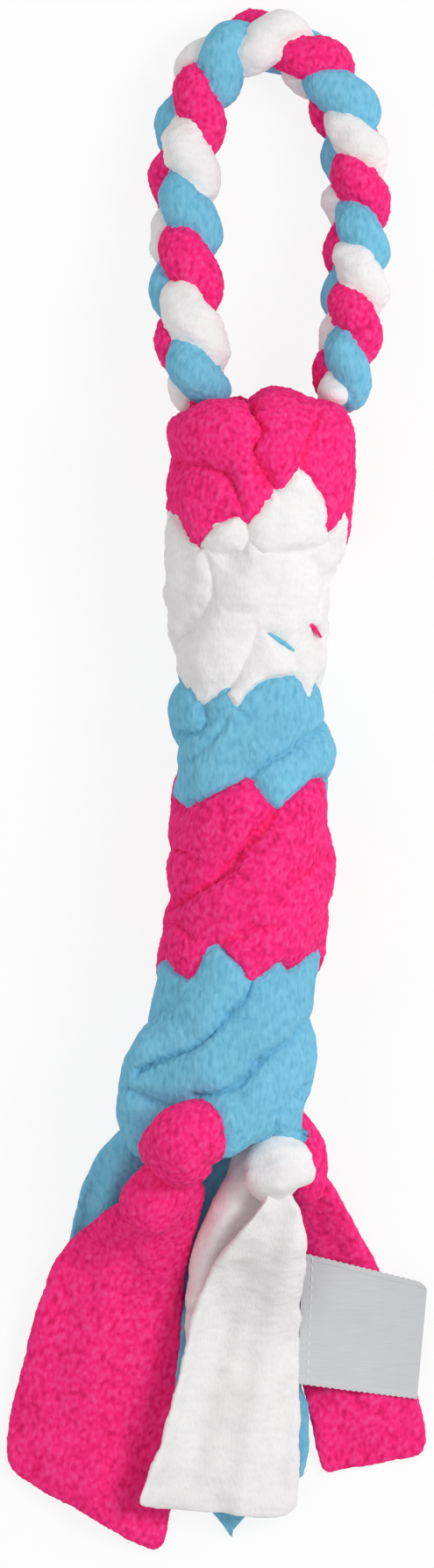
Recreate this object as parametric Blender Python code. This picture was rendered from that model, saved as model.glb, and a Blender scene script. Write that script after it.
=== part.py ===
"""Dog tug toy of plaited and knotted fleece strips: a hand loop, a knotted body, loose tails and a label.

The toy lies flat. +Y runs from the tails to the loop, +X to the right as seen from above, +Z up, and the
floor is Z = 0. Lengths are in metres and angles in degrees.
"""

import itertools
import math

import bmesh
import bpy
import numpy as np

# Whole toy
HALF_WIDTH = 0.0610

# Knotted body
BODY_LENGTH = 0.2130
BODY_RADIUS = 0.0255
BODY_TOP = 0.1061
BODY_HEIGHT = 0.0232
CORE_RADIUS = 0.0078
CORE_REACH = 0.0056
CORE_TWIST = -38
CORE_LIMIT_SHARE = 1.25

# Turns of the knots
TURN_DEPTH_SHARE = 0.62
TURN_DIVE_SHARE = 0.16
TURN_RUN_SHARE = 1.02
TURN_LIMIT_SHARE = 1.8
KNUCKLE_LIMIT_SHARE = 1.12
CREASE_DEPTH = 0.0020
CREASE_WIDTH = 0.0060

# Hand loop
LOOP_LENGTH = 0.1145
LOOP_WIDTH = 0.0700
LOOP_MIDDLE = 0.0154
LOOP_START = 0.1078
ROPE_RADIUS = 0.0113
STRAND_REACH = 0.0069
PLAIT_WIDE = 0.0044
PLAIT_THIN = 0.0036
PLAIT_PITCH_LEFT = 0.0520
PLAIT_PITCH_RIGHT = 0.0370
PLAIT_START = 0.0036
PLAIT_LEAN = 20
FOLD_LINE = 0.1169
FOLD_HEIGHT = 0.0233
FOLD_RADIUS = 0.0112
FOLD_DOWN = 60
FOLD_UP = 70
FOLD_STEP = 10
LEG_REACH_SHARE = 0.39

# Tails
TAIL_LENGTH = 0.1155
FLEECE = 0.0028
NECK_RADIUS = 0.0042
GATHER = 0.0220
DRAPE = 0.0340
FLOOR_GAP = 0.0002
LAYER_GAP = 0.0009
RIDGE_SHARE = 0.14
HEM_SHARE = 0.28

# Label
LABEL_THICKNESS = 0.0006
LABEL_HEIGHT = 0.0060
LABEL_DROP = 0.0014

# Room between neighbours
GAP = 0.0008
LEAST_GAP = 0.00025
FLOOR_SNAP = 0.0009

# Counts
TURN_RINGS = 4
TURN_SIDES = 10
STRAND_RINGS = 60
STRAND_SIDES = 8
CORE_RINGS = 26
CORE_SIDES = 6
SEARCH_STEPS = 24
SPAN_STEPS = 8
END_TILTS = (26, 52, 78)
EASE_ROUNDS = 16
EASE_SHARE = 0.95
LEAST_SHARE = 0.05
FACE_SHARES = (0.00, 0.25, 0.50, 0.75)
NECK_TURNS = (18, 45, 70, 90)
TAIL_NEAR_SHARE = 0.20
TAIL_ACROSS = 7
LABEL_ACROSS = 6
LABEL_ALONG = 6

PINK = (254, 54, 137)
WHITE = (238, 236, 237)
BLUE = (120, 196, 229)
SATIN = (200, 202, 204)
FLEECE_ROUGHNESS = 0.95
SATIN_ROUGHNESS = 0.45

# Body axis and girth: share of the way from the loop end to the tail end, side step, radius
BODY_SHARES = (
    (-0.032, 0.49, 0.00),
    (-0.020, 0.49, 0.66),
    (0.000, 0.49, 0.98),
    (0.030, 0.47, 1.07),
    (0.150, 0.41, 1.04),
    (0.27, 0.34, 0.95),
    (0.34, 0.37, 0.87),
    (0.45, 0.41, 0.93),
    (0.58, 0.40, 0.94),
    (0.68, 0.34, 0.99),
    (0.74, 0.26, 0.94),
    (0.80, 0.21, 0.94),
    (0.86, 0.15, 0.98),
    (0.92, 0.10, 0.96),
    (1.00, 0.04, 0.92),
    (1.03, 0.03, 0.72),
    (1.05, 0.02, 0.00),
)

# Turns that the front shows: along the body, degrees round it, half length, tilt in degrees, girth, lift
FRONT_TURN_SHARES = {
    "pink_collar": (
        ("pink", 0.030, -53, 0.49, -10, 0.37, 0.04),
        ("pink", 0.094, -3, 0.35, -65, 0.24, 0.00),
        ("pink", 0.046, 24, 0.47, 78, 0.31, 0.00),
        ("pink", 0.096, 66, 0.58, 86, 0.33, 0.10),
        ("pink", 0.126, -58, 0.41, -25, 0.35, 0.00),
    ),
    "white_band": (
        ("white", 0.171, -23, 0.29, 20, 0.25, 0.00),
        ("white", 0.152, 29, 0.44, 42, 0.34, 0.02),
        ("white", 0.246, -72, 0.76, 90, 0.25, 0.00),
        ("white", 0.251, -6, 0.45, 10, 0.40, 0.00),
        ("white", 0.349, -51, 0.39, 55, 0.30, 0.00),
        ("white", 0.261, 53, 0.53, 72, 0.28, 0.00),
        ("white", 0.349, 10, 0.45, 35, 0.25, 0.00),
    ),
    "blue_band": (
        ("blue", 0.393, -82, 0.33, -5, 0.30, 0.06),
        ("blue", 0.456, -29, 0.60, 28, 0.35, 0.00),
        ("blue", 0.405, 31, 0.60, 32, 0.35, 0.00),
        ("blue", 0.489, 56, 0.52, 25, 0.28, 0.02),
    ),
    "pink_band": (
        ("pink", 0.566, -43, 0.61, 25, 0.41, 0.00),
        ("pink", 0.554, 46, 0.59, 30, 0.34, 0.00),
        ("pink", 0.642, 55, 0.59, 30, 0.36, 0.00),
        ("pink", 0.660, -28, 0.65, 20, 0.32, 0.00),
        ("pink", 0.724, -65, 0.35, 20, 0.27, 0.00),
        ("pink", 0.724, 16, 0.47, 20, 0.29, 0.00),
    ),
    "blue_foot": (
        ("blue", 0.775, -15, 0.47, 30, 0.31, 0.00),
        ("blue", 0.800, -84, 0.43, 30, 0.32, 0.00),
        ("blue", 0.877, -31, 0.59, 32, 0.36, 0.00),
        ("blue", 0.810, 42, 0.59, 32, 0.36, 0.00),
        ("blue", 0.935, 11, 0.45, 32, 0.30, 0.00),
        ("blue", 0.888, 80, 0.49, 32, 0.34, 0.00),
    ),
    "blue_knuckle": (("blue", 0.912, -80, 0.44, 62, 0.34, 0.10),),
    "pink_knuckle": (("pink", 0.972, -30, 0.14, 72, 0.37, 0.14),),
    "white_knuckle": (("white", 1.012, 70, 0.08, 10, 0.35, 0.14),),
}

# Turns on the underside of each band: colour, share along the body, how many, tilt, half length, girth
BACK_TURN_SHARES = {
    "pink_collar": ("pink", 0.070, 2, 25, 0.66, 0.39),
    "white_band": ("white", 0.235, 3, 42, 0.72, 0.40),
    "blue_band": ("blue", 0.430, 3, 30, 0.60, 0.38),
    "pink_band": ("pink", 0.635, 3, 42, 0.76, 0.40),
    "blue_foot": ("blue", 0.860, 2, 35, 0.66, 0.42),
}
BACK_SPREAD = 62
BACK_SLANT_SHARE = -0.05

# Route of the rope's middle: share of the loop's width from its middle, of its length, and height share
ROPE_SHARES = (
    (-0.279, 0.010, 2.09),
    (-0.314, 0.133, 2.03),
    (-0.336, 0.264, 1.74),
    (-0.346, 0.417, 1.31),
    (-0.350, 0.570, 1.03),
    (-0.332, 0.679, 0.94),
    (-0.286, 0.788, 0.90),
    (-0.189, 0.873, 0.89),
    (-0.064, 0.908, 0.89),
    (0.061, 0.908, 0.89),
    (0.186, 0.858, 0.89),
    (0.286, 0.771, 0.90),
    (0.336, 0.679, 0.94),
    (0.354, 0.570, 1.03),
    (0.357, 0.461, 1.21),
    (0.350, 0.352, 1.50),
    (0.343, 0.242, 1.80),
    (0.318, 0.133, 2.03),
    (0.270, 0.010, 2.09),
)

# Tails. pivot and rows are shares of half width and of tail length, each row its left and right edge point.
# rest counts the fleece layers beneath, settle is where those layers end, folds are waves across, their height
# and where they start, edge and hem are the heights that the left and right edges stand up or hang down.
TAIL_SHARES = {
    "pink_tail_left": {
        "colour": "pink",
        "pivot": (-0.170, 0.069),
        "root": 7.2,
        "layer": 1.0,
        "settle": (14.5, 18.0),
        "folds": (1.5, 0.30, 0.25),
        "edge": 0.0,
        "hem": 0.0,
        "rows": (
            (-0.320, 0.072, -0.070, 0.086),
            (-0.457, 0.105, -0.074, 0.130),
            (-0.610, 0.170, -0.100, 0.200),
            (-0.760, 0.240, -0.145, 0.290),
            (-0.860, 0.390, -0.160, 0.430),
            (-0.920, 0.520, -0.170, 0.580),
            (-0.970, 0.640, -0.180, 0.740),
            (-1.000, 0.725, -0.207, 0.920),
            (-0.960, 0.790, -0.260, 1.000),
        ),
    },
    "pink_tail_right": {
        "colour": "pink",
        "pivot": (0.435, -0.048),
        "root": 4.6,
        "layer": 0.0,
        "settle": (60.0, 70.0),
        "folds": (1.5, 0.22, 0.00),
        "edge": 0.0,
        "hem": 0.0,
        "rows": (
            (0.394, -0.028, 0.502, -0.034),
            (0.404, 0.043, 0.545, 0.035),
            (0.430, 0.113, 0.633, 0.108),
            (0.440, 0.216, 0.727, 0.212),
            (0.446, 0.346, 0.826, 0.325),
            (0.446, 0.476, 0.900, 0.459),
            (0.446, 0.584, 0.953, 0.584),
            (0.455, 0.693, 0.998, 0.693),
            (0.490, 0.797, 0.980, 0.745),
        ),
    },
    "white_tail_upper": {
        "colour": "white",
        "pivot": (0.295, 0.127),
        "root": 10.8,
        "layer": 2.15,
        "settle": (60.0, 70.0),
        "folds": (2.0, 0.30, 0.60),
        "edge": 0.9,
        "hem": 1.0,
        "rows": (
            (0.200, 0.140, 0.400, 0.142),
            (0.088, 0.190, 0.424, 0.195),
            (-0.010, 0.255, 0.424, 0.260),
            (-0.080, 0.335, 0.400, 0.340),
            (-0.137, 0.433, 0.391, 0.444),
            (-0.174, 0.530, 0.391, 0.552),
            (-0.230, 0.650, 0.400, 0.671),
            (-0.313, 0.780, 0.400, 0.790),
            (-0.404, 0.870, 0.383, 0.905),
        ),
    },
    "white_tail_lower": {
        "colour": "white",
        "pivot": (0.137, 0.054),
        "root": 6.6,
        "layer": 1.0,
        "settle": (60.0, 70.0),
        "folds": (1.0, 0.20, 0.00),
        "edge": 0.0,
        "hem": 0.0,
        "rows": (
            (0.070, 0.070, 0.205, 0.078),
            (-0.020, 0.147, 0.220, 0.156),
            (-0.086, 0.260, 0.240, 0.260),
            (-0.110, 0.350, 0.260, 0.350),
            (-0.105, 0.455, 0.268, 0.455),
            (-0.100, 0.606, 0.285, 0.606),
            (-0.095, 0.757, 0.293, 0.757),
            (-0.085, 0.833, 0.300, 0.833),
        ),
    },
    "blue_tail_left": {
        "colour": "blue",
        "pivot": (-0.387, -0.085),
        "root": 5.0,
        "layer": 0.0,
        "settle": (60.0, 70.0),
        "folds": (1.0, 0.20, 0.50),
        "edge": 0.0,
        "hem": 0.0,
        "rows": (
            (-0.466, -0.068, -0.322, -0.056),
            (-0.540, -0.020, -0.280, 0.000),
            (-0.610, 0.039, -0.240, 0.065),
            (-0.666, 0.140, -0.235, 0.162),
            (-0.700, 0.238, -0.248, 0.260),
            (-0.715, 0.368, -0.290, 0.390),
        ),
    },
    "blue_tail_middle": {
        "colour": "blue",
        "pivot": (0.070, 0.030),
        "root": 2.6,
        "layer": 0.0,
        "settle": (60.0, 70.0),
        "folds": (1.5, 0.20, 0.00),
        "edge": 0.0,
        "hem": 0.0,
        "rows": (
            (0.000, 0.052, 0.150, 0.052),
            (-0.060, 0.130, 0.280, 0.130),
            (-0.125, 0.238, 0.370, 0.238),
            (-0.146, 0.390, 0.387, 0.390),
            (-0.150, 0.563, 0.400, 0.563),
            (-0.150, 0.714, 0.420, 0.690),
            (-0.141, 0.855, 0.383, 0.848),
            (-0.035, 0.935, 0.178, 0.957),
        ),
    },
}

# Strips inside the body: colour, leg they come down, place in that leg, place in the body, tail they end in
CORE_SHARES = {
    "pink_core_left": ("pink", -1, 0.83, 0.67, "pink_tail_left"),
    "white_core_left": ("white", -1, 0.50, 0.50, "white_tail_lower"),
    "blue_core_left": ("blue", -1, 0.17, 0.83, "blue_knuckle"),
    "pink_core_right": ("pink", 1, 0.17, 0.17, "pink_tail_right"),
    "white_core_right": ("white", 1, 0.83, 0.00, "white_knuckle"),
    "blue_core_right": ("blue", 1, 0.50, 0.33, "blue_tail_middle"),
}
CORE_STOP_SHARES = (0.20, 0.38, 0.56, 0.74, 0.87, 0.97)
CORE_TURN_OFF_SHARE = 0.03
LEG_SHARES = {-1: -0.279, 1: 0.262}

# Label: corners as shares of half width and tail length, left top, left foot, right foot, right top
LABEL_SHARES = ((0.432, 0.243), (0.408, 0.567), (0.945, 0.603), (0.994, 0.316))


def smooth(share):
    """0 below 0, 1 above 1 and an even climb between."""
    share = np.clip(share, 0, 1)
    return share * share * (3 - 2 * share)


def unit(vectors):
    return vectors / np.linalg.norm(vectors, axis=-1, keepdims=True)


def distances(points, middles):
    """How far each point lies from each middle."""
    squares = (points**2).sum(axis=-1)[..., None] + (middles**2).sum(axis=-1)
    return np.sqrt(np.maximum(squares - 2 * points @ middles.T, 0))


def curve_through(points):
    """A smooth curve through hand-set points."""
    points = np.asarray(points, float)
    ends = np.vstack([2 * points[0] - points[1], points, 2 * points[-1] - points[-2]])
    found = []
    for before, start, stop, after in zip(ends, ends[1:], ends[2:], ends[3:]):
        for t in np.arange(SPAN_STEPS) / SPAN_STEPS:
            bend = 2 * start + (stop - before) * t
            bend = bend + (2 * before - 5 * start + 4 * stop - after) * t**2
            found.append((bend + (3 * start - before - 3 * stop + after) * t**3) / 2)
    return np.vstack([found, points[-1:]])


def evenly(points, count):
    """The same curve with count points a like distance apart, and how far along it each lies."""
    steps = np.linalg.norm(np.diff(points, axis=0), axis=1)
    travelled = np.concatenate([[0], np.cumsum(steps)])
    at = np.linspace(0, travelled[-1], count)
    return np.stack([np.interp(at, travelled, points[:, axis]) for axis in range(3)], axis=1), at


class Tube:
    """A soft tube before its neighbours press on it: its middle line, its girth there and which way is out.

    limit is how many girths it may swell to, lift how far past the body's girth, and moves is for the loop.
    """

    def __init__(self, name, colour, middle, reach, out, rings, sides, limit, lift=None, moves=False):
        self.name = name
        self.colour = colour
        self.middle = middle
        self.reach = reach
        self.limit = limit
        self.lift = lift
        self.moves = moves
        along = unit(np.gradient(middle, axis=0))
        out = unit(out - (out * along).sum(axis=1, keepdims=True) * along)
        side = np.cross(along, out)
        turn = np.arange(sides) * 2 * math.pi / sides
        rays = np.cos(turn)[:, None] * out[:, None] + np.sin(turn)[:, None] * side[:, None]
        tilts = np.radians(END_TILTS)
        ends = [-tilt for tilt in reversed(tilts)] + [0] * rings + list(tilts)
        inner = np.linspace(0, len(middle) - 1, rings).round().astype(int)
        self.rings = np.concatenate([[0] * len(tilts), inner, [len(middle) - 1] * len(tilts)])
        tilt = np.array(ends)[:, None, None]
        self.rays = np.cos(tilt) * rays[self.rings] + np.sin(tilt) * along[self.rings][:, None]


def body_at(share):
    """Middle (x, y, z) and radius of the body at this share of the way to its tail end."""
    shares = np.array(BODY_SHARES)
    across = np.interp(share, shares[:, 0], shares[:, 1]) * BODY_RADIUS
    radius = np.interp(share, shares[:, 0], shares[:, 2]) * BODY_RADIUS
    along = BODY_TOP - share * BODY_LENGTH
    return np.stack([across, along, np.full_like(across, BODY_HEIGHT)], axis=-1), radius


def turn_tube(name, row, knuckle=False):
    """One turn of a knot: it lies on the body and dives in at both ends."""
    colour, along, around, half, tilt, girth, lift = row
    half, girth, lift = (share * BODY_RADIUS for share in (half, girth, lift))
    run = np.linspace(-1, 1, 3 * (TURN_RINGS - 1) + 1)
    travel = run * half * TURN_RUN_SHARE
    middle, radius = body_at(along - travel * math.sin(math.radians(tilt)) / BODY_LENGTH)
    angle = math.radians(around) + travel * math.cos(math.radians(tilt)) / radius
    out = np.stack([np.sin(angle), np.zeros_like(angle), np.cos(angle)], axis=1)
    depth = radius - TURN_DEPTH_SHARE * girth + lift - TURN_DIVE_SHARE * girth * run**2
    middle = middle + depth[:, None] * out
    reach = np.full(len(run), girth)
    if knuckle:
        return Tube(name, colour, middle, reach, out, TURN_RINGS, TURN_SIDES, KNUCKLE_LIMIT_SHARE)
    return Tube(name, colour, middle, reach, out, TURN_RINGS, TURN_SIDES, TURN_LIMIT_SHARE, lift)


def turn_tubes():
    tubes = []
    for band, rows in FRONT_TURN_SHARES.items():
        for number, row in enumerate(rows, 1):
            name = f"{band}_turn_{number}" if len(rows) > 1 else band
            tubes.append(turn_tube(name, row, "knuckle" in band))
    for band, (colour, along, count, tilt, half, girth) in BACK_TURN_SHARES.items():
        for number in range(count):
            step = number - (count - 1) / 2
            row = (colour, along + step * BACK_SLANT_SHARE, 180 + step * BACK_SPREAD, half, tilt, girth, 0)
            tubes.append(turn_tube(f"{band}_back_{number + 1}", row))
    return tubes


def rope_route():
    """The middle of the hand loop's rope, from the left leg's foot round to the right leg's."""
    shares = np.array(ROPE_SHARES)
    points = np.stack(
        [
            LOOP_MIDDLE + shares[:, 0] * LOOP_WIDTH,
            LOOP_START + shares[:, 1] * LOOP_LENGTH,
            shares[:, 2] * ROPE_RADIUS,
        ],
        axis=1,
    )
    return curve_through(points)


def plait_tubes(rope, travelled):
    """The rope's three strands, each winding round a figure of eight as the rope goes on."""
    along = unit(np.gradient(rope, axis=0))
    lean = math.radians(PLAIT_LEAN)
    wide = np.array([math.sin(lean), 0, math.cos(lean)])
    wide = unit(wide - (along @ wide)[:, None] * along)
    thin = np.cross(along, wide)
    pitch = PLAIT_PITCH_LEFT + (PLAIT_PITCH_RIGHT - PLAIT_PITCH_LEFT) * travelled / travelled[-1]
    twist = np.cumsum(travelled[1] / pitch) - (travelled[1] + PLAIT_START) / PLAIT_PITCH_LEFT
    tubes = []
    for place, colour in enumerate(("blue", "white", "pink")):
        phase = 2 * math.pi * (twist - place / 3) + math.pi / 2
        middle = rope + PLAIT_WIDE * np.sin(phase)[:, None] * wide
        middle = middle + PLAIT_THIN * np.sin(2 * phase)[:, None] * thin
        reach = np.full(len(rope), STRAND_REACH)
        name = f"loop_strand_{colour}"
        tubes.append(Tube(name, colour, middle, reach, wide, STRAND_RINGS, STRAND_SIDES, 1, moves=True))
    return tubes


def tail_pivot(name):
    shares = TAIL_SHARES[name]
    across, along = shares["pivot"]
    return np.array([across * HALF_WIDTH, tail_line(along), shares["root"] * FLEECE])


def tail_line(share):
    """How far along Y a share of the tails' length lies, from the body's tail end."""
    return BODY_TOP - BODY_LENGTH - share * TAIL_LENGTH


def core_tube(name, row, knuckles):
    """One strip inside the body, from its leg of the loop to its tail."""
    colour, leg, leg_turn, core_turn, tail = row
    leg_x = LOOP_MIDDLE + LEG_SHARES[leg] * LOOP_WIDTH
    spread = 2 * math.pi * leg_turn
    beside = PLAIT_WIDE * np.array([math.sin(spread), 0, math.cos(spread)])
    top = FOLD_LINE - FOLD_RADIUS - 2 * GAP
    goal = knuckles[tail] if tail in knuckles else tail_pivot(tail)
    stand_off = CORE_REACH if tail in knuckles else NECK_RADIUS + GAP + LEAST_GAP
    last = (BODY_TOP - goal[1]) / BODY_LENGTH - CORE_TURN_OFF_SHARE
    stops = np.array([stop for stop in CORE_STOP_SHARES if stop < last])
    middle, _ = body_at(stops)
    angle = 2 * math.pi * core_turn + math.radians(CORE_TWIST) * (stops - 1)
    ring = middle + CORE_RADIUS * np.stack([np.sin(angle), 0 * angle, np.cos(angle)], axis=1)
    run = goal - ring[-1]
    end = goal - unit(run) * stand_off
    route = np.vstack([np.array([leg_x, top, FOLD_HEIGHT]) + beside, ring, end])
    middle, _ = evenly(curve_through(route), 3 * (CORE_RINGS - 1) + 1)
    reach = np.full(len(middle), CORE_REACH)
    out = np.tile(np.array([0.0, 0.0, 1.0]), (len(middle), 1))
    return Tube(name, colour, middle, reach, out, CORE_RINGS, CORE_SIDES, CORE_LIMIT_SHARE)


def tail_surface(name):
    """Grid of points in the middle of a tail's fleece, rows from its neck down, and half its thickness there."""
    shares = TAIL_SHARES[name]
    pivot = tail_pivot(name)
    dome = np.radians(NECK_TURNS)
    edges = [(-math.sin(turn), math.sin(turn), math.cos(turn)) for turn in dome]
    rows = [
        (pivot[0] + NECK_RADIUS * left, pivot[0] + NECK_RADIUS * right, *(pivot[1] + NECK_RADIUS * up,) * 2)
        for left, right, up in edges
    ]
    for left_x, left_y, right_x, right_y in shares["rows"]:
        rows.append((left_x * HALF_WIDTH, right_x * HALF_WIDTH, tail_line(left_y), tail_line(right_y)))
    across = np.linspace(0, 1, TAIL_ACROSS)
    rows = np.array(rows)
    x = rows[:, 0:1] * (1 - across) + rows[:, 1:2] * across
    y = rows[:, 2:3] * (1 - across) + rows[:, 3:4] * across
    away = np.hypot(x - pivot[0], y - pivot[1])
    thickness = FLEECE + (2 * NECK_RADIUS - FLEECE) * (1 - smooth((away - NECK_RADIUS) / GATHER))
    thickness[: len(dome)] = 2 * NECK_RADIUS * np.sin(dome)[:, None]
    laid = smooth((away - NECK_RADIUS) / DRAPE)
    near_end, far_end = (share * NECK_RADIUS for share in shares["settle"])
    layer = shares["layer"] * (1 - smooth((away - near_end) / (far_end - near_end)))
    waves, height, start = shares["folds"]
    fold = height * (1 + np.sin(2 * math.pi * (waves * across + start))) / 2
    ridge = shares["edge"] * np.exp(-((across / RIDGE_SHARE) ** 2))
    hem = shares["hem"] * smooth((across - 1 + HEM_SHARE) / HEM_SHARE)
    rest = FLOOR_GAP + FLEECE / 2 + layer * (FLEECE + LAYER_GAP) + FLEECE * (fold + ridge - hem)
    z = pivot[2] + (rest - pivot[2]) * laid
    z[: len(dome)] = pivot[2]
    return np.stack([x, y, z], axis=-1), thickness / 2


def leg_pivots(rope):
    """Where each leg of the loop crosses the fold line."""
    half = len(rope) // 2
    legs = (rope[:half], rope[half:])
    return [leg[np.abs(leg[:, 1] - FOLD_LINE).argmin()] for leg in legs]


def fold_sweep(rope):
    """Balls that cover the loop's legs at every step of the fold, as middles and radii."""
    pivots = leg_pivots(rope)
    near = np.minimum(*(np.linalg.norm(rope - pivot, axis=1) for pivot in pivots)) < LEG_REACH_SHARE * LOOP_LENGTH
    legs = rope[near & (rope[:, 1] >= FOLD_LINE)]
    middles = [np.array(pivots)]
    radii = [np.full(len(pivots), FOLD_RADIUS)]
    for angle in np.radians(np.arange(-FOLD_DOWN, FOLD_UP + FOLD_STEP, FOLD_STEP)):
        forward = legs[:, 1] - FOLD_LINE
        up = legs[:, 2] - FOLD_HEIGHT
        turned = legs.copy()
        turned[:, 1] = FOLD_LINE + forward * math.cos(angle) - up * math.sin(angle)
        turned[:, 2] = FOLD_HEIGHT + forward * math.sin(angle) + up * math.cos(angle)
        middles.append(turned)
        radii.append(np.full(len(turned), ROPE_RADIUS))
    return np.vstack(middles), np.concatenate(radii)


class Crowd:
    """All tubes, and the balls that the still ones keep clear of."""

    def __init__(self, tubes, rope, balls):
        self.tubes = tubes
        self.rope = rope
        self.pivots = leg_pivots(rope)
        self.ball_middles, self.ball_radii = balls

    def others(self, tube):
        """Middles and reaches of the tubes that press on this one."""
        rest = [other for other in self.tubes if other is not tube and other.moves == tube.moves]
        middles = np.vstack([other.middle for other in rest])
        reaches = np.concatenate([other.reach for other in rest])
        near = self.nearby(middles, tube, tube.limit * reaches.max())
        return middles[near], reaches[near]

    def nearby(self, middles, tube, room):
        room = room + tube.limit * tube.reach.max()
        low, high = tube.middle.min(axis=0) - room, tube.middle.max(axis=0) + room
        return ((middles > low) & (middles < high)).all(axis=1)

    def room(self, tube, points, own, own_reach, rope_points, pressed, balls):
        """How far each point lies inside the tube's borders, negative past them."""
        room = points[..., 2].copy()
        middles, reaches = pressed
        away = distances(points, middles)
        border = away * own_reach[..., None] - own[..., None] * reaches
        border = border / (own_reach[..., None] + reaches) - GAP / 2
        border = border.min(axis=-1, initial=BODY_LENGTH)
        room = np.minimum(room, border)
        if tube.lift is not None:
            middle, radius = body_at((BODY_TOP - points[..., 1]) / BODY_LENGTH)
            out = np.hypot(points[..., 0] - middle[..., 0], points[..., 2] - middle[..., 2])
            crease = CREASE_DEPTH * (1 - np.clip(border / CREASE_WIDTH, 0, 1)) ** 2
            room = np.minimum(room, radius + tube.lift - out - crease)
        if not tube.moves:
            middles, radii = balls
            away = distances(points, middles)
            return np.minimum(room, (away - radii - GAP).min(axis=-1, initial=BODY_LENGTH))
        room = np.minimum(room, ROPE_RADIUS - np.linalg.norm(points - rope_points, axis=-1))
        for pivot in self.pivots:
            behind = (points[..., 1] < FOLD_LINE) & (np.abs(points[..., 0] - pivot[0]) < 2 * ROPE_RADIUS)
            inside = FOLD_RADIUS - np.linalg.norm(points - pivot, axis=-1)
            room = np.where(behind, np.minimum(room, inside), room)
        return room

    def swell(self, tube):
        """Ring corners of the tube, each pushed out until a neighbour, a wall or its own reach stops it."""
        near = self.nearby(self.ball_middles, tube, self.ball_radii.max())
        pressed, balls = self.others(tube), (self.ball_middles[near], self.ball_radii[near])
        middle = tube.middle[tube.rings][:, None, None]
        reach = tube.reach[tube.rings][:, None, None]
        rope = self.rope[tube.rings][:, None, None] if tube.moves else None
        shares = np.linspace(LEAST_SHARE, 1, SEARCH_STEPS)
        own = np.broadcast_to(reach * shares * tube.limit, tube.rays.shape[:2] + (SEARCH_STEPS,))
        points = middle + own[..., None] * tube.rays[:, :, None]
        own_reach = np.broadcast_to(reach, own.shape)
        room = self.room(tube, points, own, own_reach, rope, pressed, balls)
        stopped = room < 0
        first = np.where(stopped.any(axis=-1), stopped.argmax(axis=-1), SEARCH_STEPS - 1)
        before = np.maximum(first - 1, 0)
        pick = np.ogrid[: first.shape[0], : first.shape[1]]
        inner, outer = room[(*pick, before)], room[(*pick, first)]
        step = np.where(outer < 0, np.clip(inner / np.maximum(inner - outer, 1e-9), 0, 1), 1)
        push = own[(*pick, before)] + (own[(*pick, first)] - own[(*pick, before)]) * step
        for _ in range(EASE_ROUNDS):
            corners = tube.middle[tube.rings][:, None] + push[..., None] * tube.rays
            tight = self.tight_faces(tube, corners, pressed, balls)
            if not tight.any():
                break
            touched = tight | np.roll(tight, 1, axis=1)
            corner = np.zeros(push.shape, bool)
            corner[:-1] |= touched
            corner[1:] |= touched
            push = np.where(corner, push * EASE_SHARE, push)
        corners = tube.middle[tube.rings][:, None] + push[..., None] * tube.rays
        corners[..., 2] = np.where(corners[..., 2] < FLOOR_SNAP, 0, corners[..., 2])
        return corners

    def tight_faces(self, tube, corners, pressed, balls):
        """Which faces between rings bulge past the tube's borders."""
        right = np.roll(corners, -1, axis=1)
        tight = np.zeros(corners[1:].shape[:2], bool)
        for down, over in itertools.product(FACE_SHARES, FACE_SHARES):
            upper = corners[:-1] * (1 - over) + right[:-1] * over
            points = upper * (1 - down) + (corners[1:] * (1 - over) + right[1:] * over) * down
            away = distances(points, tube.middle) / tube.reach
            own_reach = tube.reach[away.argmin(axis=-1)]
            own = away.min(axis=-1) * own_reach
            rope = None
            if tube.moves:
                nearest = np.linalg.norm(points[..., None, :] - self.rope, axis=-1).argmin(axis=-1)
                rope = self.rope[nearest]
            room = self.room(tube, points, own, own_reach, rope, pressed, balls)
            tight |= room < -(GAP - LEAST_GAP) / 2
        return tight


def colour_value(level):
    share = level / 255
    return share / 12.92 if share <= 0.04045 else ((share + 0.055) / 1.055) ** 2.4


def make_material(name, colour, roughness):
    material = bpy.data.materials.new(name)
    material.use_nodes = True
    shader = material.node_tree.nodes["Principled BSDF"]
    shader.inputs["Base Color"].default_value = (*(colour_value(level) for level in colour), 1)
    shader.inputs["Roughness"].default_value = roughness
    shader.inputs["Metallic"].default_value = 0
    return material


def add_solid(name, material, points, faces, origin):
    """A named solid whose own origin lies at the given place."""
    mesh = bpy.data.meshes.new(name)
    mesh.from_pydata((np.asarray(points) - origin).tolist(), [], faces)
    mesh.materials.append(material)
    shape = bmesh.new()
    shape.from_mesh(mesh)
    bmesh.ops.triangulate(shape, faces=shape.faces)
    bmesh.ops.recalc_face_normals(shape, faces=shape.faces)
    shape.to_mesh(mesh)
    shape.free()
    mesh.shade_smooth()
    solid = bpy.data.objects.new(name, mesh)
    solid.location = origin
    bpy.context.scene.collection.objects.link(solid)
    return solid


def ring_faces(rings, sides):
    """Faces of a closed tube of corner rings, with a tip at each end after the ring corners."""
    faces = []
    for ring in range(rings - 1):
        for side in range(sides):
            after = (side + 1) % sides
            start = ring * sides
            faces.append((start + side, start + after, start + sides + after, start + sides + side))
    first_tip, last_tip = rings * sides, rings * sides + 1
    last = (rings - 1) * sides
    for side in range(sides):
        after = (side + 1) % sides
        faces.append((first_tip, after, side))
        faces.append((last_tip, last + side, last + after))
    return faces


def add_tube(tube, corners, material, origin):
    tips = [corners[0].mean(axis=0), corners[-1].mean(axis=0)]
    points = np.vstack([corners.reshape(-1, 3), tips])
    return add_solid(tube.name, material, points, ring_faces(*corners.shape[:2]), origin)


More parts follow.
